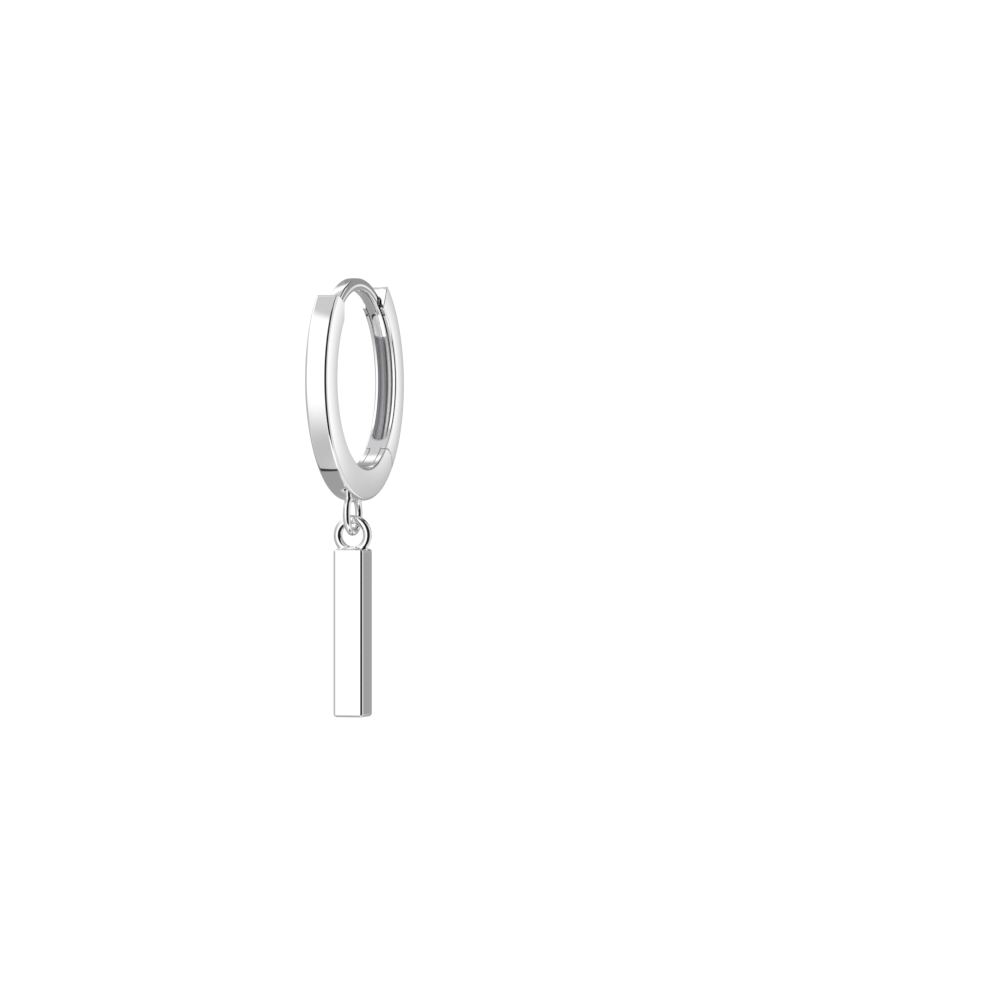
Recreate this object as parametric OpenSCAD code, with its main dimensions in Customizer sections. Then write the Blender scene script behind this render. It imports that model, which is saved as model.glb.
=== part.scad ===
// Hinged hoop earring with a square bar drop
// +X runs across the band, +Y from the front half to the back half, +Z up.
// The origin is the middle of the ear post at the top of its arc, where the ear carries it.

/* [Hoop] */
// Outer diameter of the hoop
hoop_d = 13.64; // [13:0.02:15]
// Thickness of the band, mean of front and back
band_t = 1.74; // [1.5:0.02:2]
// How far the opening's centre lies behind the hoop's centre
opening_back = 0.18; // [0:0.01:0.3]
// How far the opening's centre lies above the hoop's centre
opening_up = 0.08; // [0:0.01:0.2]
// Width of the band
band_w = 1.34; // [1.3:0.02:2.4]
// Radius along the band's outer edges
band_edge = 0.24; // [0.05:0.01:0.3]
// Radius along the opening's edges
opening_edge = 0.12; // [0.05:0.01:0.2]

/* [Top ends] */
// Angle of the front half's top end, counted from straight back up over the top
front_end_angle = 135; // [126:0.1:140]
// How far the front half's end face leans from straight across the band
front_end_lean = 21; // [0:1:26]
// Angle of the back half's top end, counted the same way
back_end_angle = 56.5; // [50:0.5:62]
// How far the back half's end face leans from straight across the band
back_end_lean = 5; // [0:1:12]
// Radius of the outer corner of each top end
end_round = 0.26; // [0.1:0.02:0.4]
// Thickness of the front half's top end outside its eased inner corner
front_end_flat = 1.18; // [0.9:0.02:1.3]

/* [Ear post] */
// Width of the ear post
post_w = 0.78; // [0.6:0.02:0.9]
// Thickness of the ear post
post_t = 0.74; // [0.6:0.02:0.9]
// Radius along the ear post's outer edges
post_edge = 0.16; // [0.05:0.01:0.24]
// Radius along the ear post's inner edges
post_inner_edge = 0.08; // [0.05:0.01:0.24]
// How far the post's arc stands in front of the hoop's centre
post_forward = 0.06; // [0:0.02:0.5]
// Angle of the post's free end
post_end_angle = 28.6; // [22:0.2:40]
// How far the post's root reaches into the front half, as an angle
post_root = 10; // [6:1:16]

/* [Groove] */
// Play on each side of the post in its groove
groove_play = 0.04; // [0.02:0.01:0.1]
// Depth of the groove in the back half's inner face
groove_depth = 0.82; // [0.7:0.01:0.9]
// Angle of the groove's lower end
groove_end_angle = -41; // [-44:0.5:-20]

/* [Hinge] */
// Angle of the hinge, counted from straight back
hinge_angle = -53.4; // [-60:0.2:-50]
// How much the round end of each cheek is larger than half the band's thickness
cheek_over = 0.12; // [0.06:0.01:0.2]
// Width of the tongue between the cheeks
tongue_w = 0.6; // [0.5:0.01:0.8]
// How far the tongue's tail reaches past the cheeks' round
tail_past = 0.39; // [0.2:0.01:0.6]
// Gap along the hinge's seams
seam_gap = 0.04; // [0.02:0.01:0.08]
// Diameter of the hinge pin
pin_d = 0.4; // [0.3:0.02:0.5]
// Running clearance around the pin in the tongue
pin_play = 0.02; // [0.01:0.005:0.04]
// Clearance around the pin in the cheeks
pin_seat = 0.01; // [0.005:0.005:0.02]
// Metal left over the pin's ends at the band's side faces
pin_cover = 0.1; // [0.06:0.01:0.16]

/* [Rings] */
// Wire of the bar's eye ring
wire_d = 0.5; // [0.36:0.02:0.56]
// Wire of the hanger ring
hanger_wire_d = 0.42; // [0.36:0.02:0.56]
// Outer diameter of the hanger ring
hanger_d = 2.54; // [2.3:0.02:2.8]
// How far the hanger ring stands in front of the hoop's centre
hanger_forward = 0.5; // [0:0.02:1]
// How deep the hanger ring is soldered into the band
hanger_sink = 0.53; // [0.3:0.01:0.6]
// Outer diameter of the bar's eye ring
eye_d = 2.28; // [2.1:0.02:2.8]
// How deep the eye ring is soldered into the bar
eye_sink = 0.36; // [0.2:0.02:0.44]
// Gap between the two rings where they hang in each other
link_gap = 0.26; // [0.05:0.01:0.3]

/* [Bar] */
// Side of the square bar
bar_side = 1.8; // [1.4:0.05:3]
// Length of the bar
bar_len = 9.58; // [6:0.02:30]
// Radius of the bar's edges
bar_edge = 0.19; // [0.05:0.01:0.3]

/* [Hidden] */
$fn = 96;

metal = "#c9cbcd";

// A length that reaches past whatever is cut
past = 1;

hoop_r = hoop_d / 2;
opening_r = hoop_r - band_t;
opening_centre = [opening_back, opening_up];

// The ear post's arc keeps the opening's own radius
post_in_r = opening_r;
post_out_r = post_in_r + post_t;
post_mid_r = (post_in_r + post_out_r) / 2;
post_centre = [-post_forward, opening_up];
post_cap_angle = post_end_angle + asin(post_w / 2 / post_mid_r);

// The hoop's centre, seen from the origin
hoop_at = [0, post_forward, -opening_up - post_mid_r];

groove_w = post_w + 2 * groove_play;
groove_r = groove_w / 2;
groove_mid_r = opening_r + groove_depth - groove_r;
groove_cap_angle = groove_end_angle + asin(groove_r / groove_mid_r);

hinge_r = (hoop_r + opening_at(hinge_angle)) / 2;
hinge_at = hinge_r * ray(hinge_angle);
cheek_r = hoop_r - hinge_r + cheek_over;
tail_r = cheek_r + tail_past;
slot_w = tongue_w + 2 * seam_gap;
pin_len = band_w - 2 * pin_cover - 2 * pin_seat;

hanger_r = (hanger_d - hanger_wire_d) / 2;
hanger_z = -sqrt(hoop_r * hoop_r - hanger_forward * hanger_forward) + hanger_sink - hanger_d / 2;
eye_r = (eye_d - wire_d) / 2;
eye_z = hanger_z - hanger_r + (hanger_wire_d + wire_d) / 2 + link_gap - eye_r;
bar_top_z = eye_z - eye_d / 2 + eye_sink;

// Direction at an angle in the hoop's plane, counted from straight back
function ray(angle) = [cos(angle), sin(angle)];

// Distance from the hoop's centre to the opening's edge at an angle
function opening_at(angle) =
    let (along = ray(angle) * opening_centre)
    along + sqrt(along * along + opening_r * opening_r - opening_centre * opening_centre);

// Lays a shape drawn flat into the hoop's plane, at the hoop's place
module in_hoop() {
    translate(hoop_at) rotate([90, 0, 90]) children();
}

module rounded_rectangle(wide, high, radius) {
    square([wide - 2 * radius, high], center = true);
    square([wide, high - 2 * radius], center = true);
    for (side = [-1, 1], end = [-1, 1])
        translate([side * (wide / 2 - radius), end * (high / 2 - radius)]) circle(radius);
}

// A pie slice of the hoop's plane between two angles less than 180 degrees apart
module slice(from, to) {
    reach = 2 * hoop_d;
    polygon([[0, 0], reach * ray(from), reach * ray((from + to) / 2), reach * ray(to)]);
}

// Profile of the whole ring outside, with its edge radii, to be turned about the hoop's axis
module outer_profile() {
    intersection() {
        square([2 * hoop_d, band_w], center = true);
        rounded_rectangle(hoop_d, band_w, band_edge);
        translate([0, -band_w]) square([hoop_d, 2 * band_w]);
    }
}

// Profile of the opening, flared by its edge radii
module opening_profile() {
    flare = opening_r + opening_edge;
    land_w = band_w - 2 * opening_edge;
    difference() {
        translate([0, -band_w / 2 - past]) square([flare, band_w + 2 * past]);
        for (side = [-1, 1])
            translate([flare, side * land_w / 2]) circle(opening_edge);
        translate([opening_r, -land_w / 2]) square([opening_edge + past, land_w]);
    }
}

// The whole ring before it is divided
module ring() {
    difference() {
        rotate_extrude() outer_profile();
        translate(opening_centre) rotate_extrude() opening_profile();
    }
}

// What shapes a top end: its face leans by an angle and its outer corner is rounded.
// side is 1 where the metal lies at smaller angles and -1 where it lies at larger ones.
module end_cut(angle, lean, side) {
    centre_r = hoop_r - end_round;
    turn = acos((-side * hoop_r * sin(lean) - end_round) / centre_r);
    centre_angle = angle + lean + side * (90 - turn);
    centre = centre_r * ray(centre_angle);
    out = 4 * end_round * ray(centre_angle);
    across = 4 * end_round * side * ray(angle + lean + 90);
    linear_extrude(band_w + 2 * past, center = true) {
        translate(hoop_r * ray(angle)) rotate(angle + lean)
            translate([-hoop_d / 2, (side - 1) * hoop_d / 2]) square(hoop_d);
        difference() {
            polygon([centre, centre + out, centre + out + across, centre + across]);
            translate(centre) circle(end_round);
        }
    }
}

// The inner corner of the front half's top end, eased straight down
module eased_corner() {
    corner = hoop_r * ray(front_end_angle) - front_end_flat * ray(front_end_angle + front_end_lean);
    translate([corner[0], 0, -band_w]) cube([hoop_d, hoop_d, 2 * band_w]);
}

module at_hinge() {
    translate(hinge_at) children();
}

module hinge_disc(radius, width) {
    at_hinge() cylinder(r = radius, h = width, center = true);
}

module front_band() {
    difference() {
        intersection() {
            ring();
            linear_extrude(2 * band_w, center = true) {
                slice(front_end_angle - front_end_lean, 220);
                slice(200, hinge_angle + 360);
                at_hinge() circle(cheek_r);
            }
        }
        end_cut(front_end_angle, front_end_lean, -1);
        eased_corner();
    }
}

// Section of the ear post, with its outer side towards +X
module post_profile() {
    intersection() {
        translate([-post_t / 2, 0]) rounded_rectangle(2 * post_t, post_w, post_edge);
        translate([post_t / 2, 0]) rounded_rectangle(2 * post_t, post_w, post_inner_edge);
    }
}

// The post's arc, with its free end rounded
module ear_post() {
    root_angle = front_end_angle + post_root;
    translate(post_centre) {
        rotate(post_cap_angle)
            rotate_extrude(angle = root_angle - post_cap_angle)
                translate([post_mid_r, 0]) post_profile();
        rotate(post_cap_angle) translate([post_mid_r, 0]) rotate([0, 90, 0])
            rotate_extrude() intersection() {
                rotate(90) post_profile();
                translate([0, -post_t]) square([post_w, 2 * post_t]);
            }
    }
}

module hanger_ring() {
    translate([-hanger_forward, hanger_z])
        rotate_extrude() translate([hanger_r, 0]) circle(d = hanger_wire_d);
}

// Front half of the hoop, with the ear post and the hanger ring soldered on
module front_half() {
    color(metal) in_hoop() difference() {
        union() {
            front_band();
            ear_post();
            hanger_ring();
        }
        hinge_disc(tail_r + seam_gap, slot_w);
        hinge_disc(pin_d / 2 + pin_seat, band_w - 2 * pin_cover);
    }
}

// What the post's groove takes out of the back half
module groove() {
    translate(opening_centre) {
        rotate(groove_cap_angle) rotate_extrude(angle = 90 - groove_cap_angle) {
            translate([groove_mid_r, 0]) circle(groove_r);
            translate([groove_mid_r - groove_depth, -groove_r]) square([groove_depth, groove_w]);
        }
        rotate(groove_cap_angle) {
            translate([groove_mid_r, 0]) sphere(groove_r);
            translate([groove_mid_r, 0]) rotate([0, -90, 0]) cylinder(r = groove_r, h = groove_depth);
        }
    }
}

module back_band() {
    difference() {
        intersection() {
            ring();
            linear_extrude(2 * band_w, center = true) slice(hinge_angle, back_end_angle + back_end_lean);
        }
        end_cut(back_end_angle, back_end_lean, 1);
        hinge_disc(cheek_r + seam_gap, 2 * band_w);
        groove();
    }
}

// The tongue fills the fork between the cheeks, as thick as the band
module tongue() {
    intersection() {
        ring();
        hinge_disc(tail_r, tongue_w);
    }
}

// Back half of the hoop, which opens about the hinge
module back_half() {
    color(metal) in_hoop() difference() {
        union() {
            back_band();
            tongue();
        }
        hinge_disc(pin_d / 2 + pin_play, 2 * band_w);
    }
}

module hinge_pin() {
    color(metal) in_hoop() hinge_disc(pin_d / 2, pin_len);
}

// A square bar with every edge rounded
module bar() {
    tall = bar_len + 2 * past;
    intersection() {
        linear_extrude(tall, center = true) rounded_rectangle(bar_side, bar_side, bar_edge);
        rotate([90, 0, 0]) linear_extrude(tall, center = true) rounded_rectangle(bar_side, bar_len, bar_edge);
        rotate([90, 0, 90]) linear_extrude(tall, center = true) rounded_rectangle(bar_side, bar_len, bar_edge);
    }
}

// The drop: the bar with its eye ring soldered on
module bar_drop() {
    color(metal) translate(hoop_at) translate([0, -hanger_forward, 0]) {
        translate([0, 0, bar_top_z - bar_len / 2]) bar();
        translate([0, 0, eye_z]) rotate([90, 0, 0])
            rotate_extrude() translate([eye_r, 0]) circle(d = wire_d);
    }
}

front_half();
back_half();
hinge_pin();
bar_drop();
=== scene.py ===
"""Hinged hoop earring with a square bar drop, in mirror-polished silver, on a plain pale floor."""

import math

import bpy
import numpy as np
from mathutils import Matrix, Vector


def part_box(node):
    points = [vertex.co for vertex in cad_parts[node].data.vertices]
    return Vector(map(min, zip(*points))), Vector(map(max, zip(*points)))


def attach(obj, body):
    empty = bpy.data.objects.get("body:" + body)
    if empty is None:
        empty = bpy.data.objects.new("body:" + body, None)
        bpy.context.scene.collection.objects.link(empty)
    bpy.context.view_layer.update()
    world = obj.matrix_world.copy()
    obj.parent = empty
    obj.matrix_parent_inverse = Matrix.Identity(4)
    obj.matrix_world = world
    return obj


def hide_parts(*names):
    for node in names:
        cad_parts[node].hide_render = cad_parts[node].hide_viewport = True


bl_info = {
    "name": "Hinged Hoop Earring",
    "version": (1, 0, 0),
    "blender": (4, 5, 0),
    "location": "View3D > Sidebar > Earring",
    "description": "Dresses the earring's frame in polished silver and sets up its studio",
    "category": "Object",
}

MM = 0.001
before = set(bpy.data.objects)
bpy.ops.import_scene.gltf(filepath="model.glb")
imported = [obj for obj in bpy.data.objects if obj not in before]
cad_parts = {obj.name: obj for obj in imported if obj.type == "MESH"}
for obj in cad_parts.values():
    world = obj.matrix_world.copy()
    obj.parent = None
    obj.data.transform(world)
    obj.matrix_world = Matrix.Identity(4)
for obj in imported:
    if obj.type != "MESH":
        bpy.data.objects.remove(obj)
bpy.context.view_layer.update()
FRONT_BOX, BACK_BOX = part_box("front_half"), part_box("back_half")
DROP_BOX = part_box("bar_drop")


def length(name, description, millimetres):
    """A length that the user can change."""
    return bpy.props.FloatProperty(
        name=name, description=description, default=millimetres * MM, unit="LENGTH"
    )


def angle(name, description, degrees):
    """An angle that the user can change."""
    return bpy.props.FloatProperty(
        name=name, description=description, default=math.radians(degrees), subtype="ANGLE"
    )


def linear(hex_colour):
    """An sRGB hex colour as linear RGBA."""
    channels = [int(hex_colour[i : i + 2], 16) / 255 for i in (1, 3, 5)]
    return [c / 12.92 if c <= 0.04045 else ((c + 0.055) / 1.055) ** 2.4 for c in channels] + [1.0]


def colour(name, description, hex_colour):
    """A colour that the user can change."""
    return bpy.props.FloatVectorProperty(
        name=name,
        description=description,
        default=linear(hex_colour),
        subtype="COLOR",
        size=4,
        min=0,
        max=1,
    )


def fraction(name, description, part):
    """A fraction between 0 and 1 that the user can change."""
    return bpy.props.FloatProperty(
        name=name, description=description, default=part, subtype="FACTOR", min=0, max=1
    )


class EarringSizes(bpy.types.PropertyGroup):
    """Sizes of the earring. Angles round the hoop are counted from straight back up over the top."""

    hoop_radius: length(
        "Hoop radius", "Outer radius of the hoop", (BACK_BOX[1].y - FRONT_BOX[0].y) / 2 / MM
    )
    hoop_back: length(
        "Hoop back",
        "How far the hoop's centre lies behind the ear post's middle",
        (BACK_BOX[1].y + FRONT_BOX[0].y) / 2 / MM,
    )
    hoop_below: length("Hoop below", "How far the hoop's centre lies below the ear post's middle", 5.53)
    band_thickness: length("Band thickness", "Mean thickness of the band", 1.74)
    opening_back: length("Opening back", "How far the opening's centre lies behind the hoop's centre", 0.18)
    opening_up: length("Opening up", "How far the opening's centre lies above the hoop's centre", 0.08)
    band_width: length("Band width", "Width of the band", (BACK_BOX[1].x - BACK_BOX[0].x) / MM)
    band_edge: length("Band edge", "Radius along the band's outer edges", 0.18)
    opening_edge: length("Opening edge", "Radius along the opening's edges", 0.10)
    band_dome: angle("Band dome", "How far the polished outer face leans at its edges", 3.0)
    band_crown: angle("Band crown", "How far the polished side faces lean at their edges", 1.5)

    front_end: angle("Front end", "Angle of the front half's top end", 135)
    front_lean: angle("Front lean", "How far the front half's end face leans", 21)
    front_flat: length("Front flat", "Thickness of the front half's top end outside its eased corner", 1.18)
    back_end: angle("Back end", "Angle of the back half's top end", 56.5)
    back_lean: angle("Back lean", "How far the back half's end face leans", 5)
    end_round: length("End round", "Radius of each top end's outer corner", 0.26)
    end_edge: length("End edge", "Radius along the edges of each top end", 0.06)
    eased_round: length("Eased round", "Radius of the eased corner's outer corner", 0.08)

    post_width: length("Post width", "Width of the ear post", 0.78)
    post_thickness: length("Post thickness", "Thickness of the ear post", 0.74)
    post_outer_edge: length("Post outer edge", "Radius along the ear post's outer edges", 0.16)
    post_inner_edge: length("Post inner edge", "Radius along the ear post's inner edges", 0.08)
    post_dome: angle("Post dome", "How far the ear post's outer face leans at its edges", 6)
    post_crown: angle("Post crown", "How far the ear post's sides lean at their edges", 9)
    post_belly: angle("Post belly", "How far the ear post's inner face leans at its edges", 27)
    post_forward: length("Post forward", "How far the post's arc stands in front of the hoop's centre", 0.06)
    post_end: angle("Post end", "Angle of the ear post's free end", 28.6)
    post_root: angle("Post root", "How far the post's root reaches into the front half", 10)

    groove_width: length("Groove width", "Width of the groove that takes the ear post", 0.86)
    groove_depth: length("Groove depth", "Depth of the groove", 0.82)
    groove_rim: length("Groove rim", "Radius along the groove's rim", 0.03)
    groove_end: angle("Groove end", "Angle of the groove's lower end", -41)

    hinge_angle: angle("Hinge angle", "Angle of the hinge", -53.4)
    cheek_over: length("Cheek over", "How much each cheek's round is larger than half the band", 0.12)
    tail_past: length("Tail past", "How far the tongue's tail reaches past the cheeks' round", 0.39)
    tongue_width: length("Tongue width", "Width of the tongue between the cheeks", 0.6)
    seam_gap: length("Seam gap", "Gap along the hinge's seams", 0.04)
    seam_edge: length("Seam edge", "Radius along the hinge's seams", 0.03)
    tongue_bore: length("Tongue bore", "Radius of the pin's bore in the tongue", 0.22)
    cheek_bore: length("Cheek bore", "Radius of the pin's bore in the cheeks", 0.21)
    pin_cover: length("Pin cover", "Metal over the ends of the pin's bore", 0.1)

    hanger_radius: length("Hanger radius", "Radius of the hanger ring's wire circle", 1.06)
    hanger_wire: length("Hanger wire", "Wire of the hanger ring", 0.42)
    hanger_forward: length("Hanger forward", "How far the ring stands in front of the hoop's centre", 0.5)
    hanger_below: length("Hanger below", "How far the ring's centre lies below the hoop's", 7.5416)
    hanger_solder: length("Hanger solder", "Radius of the solder round the hanger ring's feet", 0.12)

    eye_radius: length("Eye radius", "Radius of the eye ring's wire circle", 0.89)
    eye_wire: length("Eye wire", "Wire of the eye ring", 0.5)
    eye_sink: length("Eye sink", "How deep the eye ring is soldered into the bar", 0.36)
    eye_solder: length("Eye solder", "Radius of the solder round the eye ring's foot", 0.12)
    bar_side: length("Bar side", "Side of the square bar", 1.8)
    bar_length: length("Bar length", "Length of the square bar", 9.58)
    bar_edge: length("Bar edge", "Radius of the bar's edges", 0.18)
    bar_crown: angle("Bar crown", "How far the bar's faces lean at their edges", 1.0)


class EarringFinish(bpy.types.PropertyGroup):
    """Colours and roughness of the metal."""

    polished_colour: colour("Polished colour", "Colour of the wheel-polished metal", "#f0f0f0")
    polished_roughness: fraction("Polished roughness", "Roughness of the wheel-polished metal", 0.035)
    # The tumbled roughness is the groove's real finish; the tumbled colour is darker than the polished one as
    # painted shade in the groove.
    tumbled_colour: colour("Tumbled colour", "Colour of the tumbled metal in the groove", "#d6d6d8")
    tumbled_roughness: fraction("Tumbled roughness", "Roughness of the tumbled metal in the groove", 0.30)


class EarringStudio(bpy.types.PropertyGroup):
    """Camera and floor of the studio."""

    floor_colour: colour("Floor colour", "Colour of the lit floor", "#ffffff")

    camera_azimuth: angle("Camera azimuth", "Turn of the line of sight, from along +Y towards -X", 17.5)
    camera_distance: length("Camera distance", "To the hoop's centre, along the line of sight", 265.4)
    camera_aside: length("Camera aside", "How far the line of sight passes right of the hoop's centre", 8.25)
    camera_below: length("Camera below", "How far the camera stands below the hoop's centre", 6.77)
    lens: bpy.props.FloatProperty(
        name="Lens", description="Focal length for a 36 mm wide sensor", default=167.2, unit="CAMERA"
    )
    floor_below: length("Floor below", "How far the floor lies below the ear post's middle", 60)
    floor_radius: length("Floor radius", "Radius of the level floor", 400)
    floor_cove: length("Floor cove", "Radius of the cove between the floor and the wall round it", 200)
    floor_wall: length("Floor wall", "Height of the wall over the cove", 400)


def add_node(tree, kind, links=None, **settings):
    """Adds a node; settings are its own properties, links are sockets or values for its inputs."""
    node = tree.nodes.new(kind)
    for name, value in settings.items():
        setattr(node, name, value)
    for key, value in (links or {}).items():
        if isinstance(value, bpy.types.NodeSocket):
            tree.links.new(value, node.inputs[key])
        else:
            node.inputs[key].default_value = value
    return node


# The skins are worked out round the hoop's centre, as x across the band, y back and z up, and for x over 0
# only: the other side is their mirror image. A fine enough grain joins grids at the points that they share.
GRAIN = 1e-9

# How finely the skins' edges and normals are worked out: halvings of the span that an edge lies in, the
# shift of a point that gives a wall's slope, the turn that gives a ring's, and the least length of a vector
HALVINGS = 48
SLOPE_SHIFT = 1e-8
SLOPE_TURN = 1e-5
SHORTEST = 1e-30

# How many steps there are along each part of half a section: the middle and the rest of a face, and its edges
# and side. From them follow the numbers of the points where its parts end, from the middle of its outer face
# round the side to the middle of its inner one.
MIDDLE, REST, OUTER_EDGE, SIDE, INNER_EDGE = 6, 3, 10, 8, 6
FACE_END = MIDDLE + REST
SIDE_TOP = FACE_END + OUTER_EDGE
SIDE_END = SIDE_TOP + SIDE
CREST = SIDE_END + INNER_EDGE
SPLIT_IN = CREST + REST
LAST = SPLIT_IN + MIDDLE

# How many steps there are along the parts of half the groove's section that come before its round bottom, and
# across the round edge where a sweep ends
SILL, RIM, GROOVE_WALL = 2, 5, 6
ROUND = 5

# How many steps there are along the pieces
POST_STEPS, POST_END_STEPS = 240, 24
FRONT_STEPS, CHEEK_STEPS = 140, 12
GROOVE_STEPS, APRON_STEPS, FOOT_STEPS, MOUTH_STEPS = 161, 6, 5, 6
TONGUE_STEPS, HINGE_STEPS, HINGE_FACE_STEPS = 16, 24, 4
HANGER_STEPS, HANGER_WIRE_STEPS = 160, 24
EYE_STEPS, EYE_WIRE_STEPS = 96, 48
SHAFT_STEPS = 24

# Angles in the metal and out of it, between which an end is looked for, and how far round the hoop from the
# hinge the edges beside it are looked for, all in radians
FRONT_TOP_SPAN = (math.radians(200), math.radians(100))
BACK_TOP_SPAN = (0.3, 1.6)
GROOVE_END_SPAN = (0.0, -1.2)
SLOT_SPAN, CHEEK_SPAN, SLAB_SPAN, TAIL_SPAN = 0.6, 0.3, 0.4, 0.4

# How far the apron reaches along the opening from the groove's lower end. It is the face in which the
# groove's round end turns into the band's straight steps.
APRON = 0.8 * MM

# The finishes of the silver, in the order of the materials on each piece
POLISHED, TUMBLED = 0, 1


def unit(vectors):
    """Vectors brought to length 1."""
    return vectors / np.maximum(np.linalg.norm(vectors, axis=-1, keepdims=True), SHORTEST)


def shares(steps):
    """Shares from 0 to 1 in even steps."""
    return np.linspace(0, 1, steps + 1)


class Skin:
    """Gathers grids of points and their normals, and joins them to one mesh."""

    def __init__(self):
        self.corners, self.normals, self.finishes = [], [], []

    def add(self, points, normals, finish=POLISHED):
        """Adds a grid and its mirror image."""
        for side in (1, -1):
            for kept, rows in ((self.corners, points), (self.normals, normals)):
                rows = rows * [side, 1, 1]
                corners = [rows[:-1, :-1], rows[1:, :-1], rows[1:, 1:], rows[:-1, 1:]]
                kept.append(np.stack(corners, axis=2).reshape(-1, 4, 3))
            self.finishes.append(np.full(len(self.corners[-1]), finish))

    def build(self, name, centre):
        """Makes the object, with its faces turned the way of their normals."""
        corners, normals = np.concatenate(self.corners), unit(np.concatenate(self.normals))
        facing = np.cross(corners[:, 2] - corners[:, 0], corners[:, 3] - corners[:, 1])
        inward = np.einsum("ij,ij->i", facing, normals.sum(axis=1)) < 0
        corners[inward] = corners[inward][:, ::-1]
        normals[inward] = normals[inward][:, ::-1]

        # Corners at the same place become one point, and a face with fewer than three different ones goes
        places = np.round(corners.reshape(-1, 3) / (10 * GRAIN)) + 0.0
        _, first, index = np.unique(places, axis=0, return_index=True, return_inverse=True)
        index = index.reshape(-1, 4)
        kept = index != np.roll(index, -1, axis=1)
        whole = kept.sum(axis=1) >= 3
        index, kept, normals = index[whole], kept[whole], normals[whole]

        mesh = bpy.data.meshes.new(name)
        points = corners.reshape(-1, 3)[first] + centre
        mesh.from_pydata(points.tolist(), [], [row[keep].tolist() for row, keep in zip(index, kept)])
        for metal in silver():
            mesh.materials.append(metal)
        mesh.polygons.foreach_set("material_index", np.concatenate(self.finishes)[whole])
        mesh.shade_smooth()
        mesh.normals_split_custom_set(normals[kept].tolist())
        piece = bpy.data.objects.new(name, mesh)
        bpy.context.scene.collection.objects.link(piece)
        return piece


def ray(turn):
    """Direction at an angle in the hoop's plane, counted from straight back."""
    return np.array([0.0, math.cos(turn), math.sin(turn)])


def section(width, thickness, split, outer_edge, inner_edge, dome, crown, belly=0.0):
    """Half of a rounded section, from the middle of its outer face round its side to that of its inner one.

    Each row is a point: how far across and how high it lies, and its normal across and outwards. The outer
    face is domed, the side is crowned and the inner face has a belly, by the angles that they lean at their
    edges. A point lies at split on each face.
    """
    half_width, half_thickness = width / 2, thickness / 2
    drop = (half_width - outer_edge) * math.tan(dome) / 2
    rise = (half_width - inner_edge) * math.tan(belly) / 2
    outer_level = half_thickness - drop - outer_edge * math.cos(dome)
    inner_level = inner_edge * math.cos(belly) + rise - half_thickness
    side_top = outer_level + outer_edge * math.sin(crown)
    side_bottom = inner_level - inner_edge * math.sin(crown)
    bulge = (side_top - side_bottom) / 4 * math.tan(crown)
    outer_at = half_width - bulge - outer_edge * math.cos(crown)
    inner_at = half_width - bulge - inner_edge * math.cos(crown)

    face_end = outer_at + outer_edge * math.sin(dome)
    across = np.r_[np.linspace(0, split, MIDDLE, endpoint=False), np.linspace(split, face_end, REST + 1)]
    lean = dome * across / face_end
    level = half_thickness - drop * (across / face_end) ** 2
    outer_face = np.column_stack([across, level, np.sin(lean), np.cos(lean)])

    turn = np.linspace(dome, math.pi / 2 - crown, OUTER_EDGE + 1)
    sin, cos = np.sin(turn), np.cos(turn)
    outer_round = np.column_stack([outer_at + outer_edge * sin, outer_level + outer_edge * cos, sin, cos])

    share = np.linspace(1, -1, SIDE + 1)
    level = (side_top + side_bottom) / 2 + (side_top - side_bottom) / 2 * share
    across = half_width - bulge * share**2
    side = np.column_stack([across, level, np.cos(crown * share), np.sin(crown * share)])

    turn = np.linspace(crown, math.pi / 2 - belly, INNER_EDGE + 1)
    sin, cos = np.sin(turn), np.cos(turn)
    inner_round = np.column_stack([inner_at + inner_edge * cos, inner_level - inner_edge * sin, cos, -sin])

    face_end = inner_at + inner_edge * math.sin(belly)
    across = np.r_[np.linspace(face_end, split, REST, endpoint=False), np.linspace(split, 0, MIDDLE + 1)]
    lean = belly * across / face_end
    level = rise * (across / face_end) ** 2 - half_thickness
    inner_face = np.column_stack([across, level, np.sin(lean), -np.cos(lean)])
    return np.vstack([outer_face[:-1], outer_round[:-1], side[:-1], inner_round[:-1], inner_face])


def circles(rows, radius, centre, upright=()):
    """Circles that a section's points are swept along: rows of x, centre, radius and normal.

    On the rows in upright, the normal leans only to the front and back, not up and down, so that a side face
    mirrors the tent evenly from its top to its bottom.
    """
    centre = np.broadcast_to(centre, (len(rows), 3))
    lift = np.ones(len(rows))
    lift[list(upright)] = 0
    return np.column_stack([rows[:, 0], centre[:, 1:], radius + rows[:, 1], rows[:, 2:], lift])


def swept(lines, turns):
    """Points and normals on circles, at angles given in a row for each circle."""
    x, y, z, radius, across, outwards, lift = (column[:, None] for column in lines.T)
    cos, sin = np.cos(turns), np.sin(turns)
    points = np.stack([x + 0 * turns, y + radius * cos, z + radius * sin], axis=-1)
    normals = np.stack([across + 0 * turns, outwards * cos, outwards * sin * lift], axis=-1)
    return points, normals


def crossing(lines, wall, inside, outside):
    """Angles at which circles leave the metal, between one inside it and one outside."""
    inner, outer = np.full((len(lines), 1), inside), np.full((len(lines), 1), outside)
    for _ in range(HALVINGS):
        middle = (inner + outer) / 2
        out = wall(swept(lines, middle)[0]) > GRAIN
        outer = np.where(out, middle, outer)
        inner = np.where(out, inner, middle)
    return inner


def slope(wall, points):
    """Unit normals of a wall that stands straight across the band."""
    slopes = [wall(points + axis) - wall(points - axis) for axis in SLOPE_SHIFT * np.eye(3)[1:]]
    return unit(np.stack([0 * slopes[0], *slopes], axis=-1))


def rounded_edge(sharp, first, second, radius):
    """The round edge that takes the place of the sharp one between two faces with the given normals."""
    share = shares(ROUND)[:, None]
    sharp, first, second = sharp[:, None], first[:, None], second[:, None]
    meeting = 1 + (first * second).sum(axis=-1, keepdims=True)
    normals = unit(first * (1 - share) + second * share)
    return sharp - radius * (first + second) / meeting + radius * normals, normals


def rounded_end(lines, turns, wall, radius):
    """The round edge along which circles end at a wall."""
    points, normals = (rows[:, 0] for rows in swept(lines, turns))
    return rounded_edge(points, normals, slope(wall, points), radius)


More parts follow.
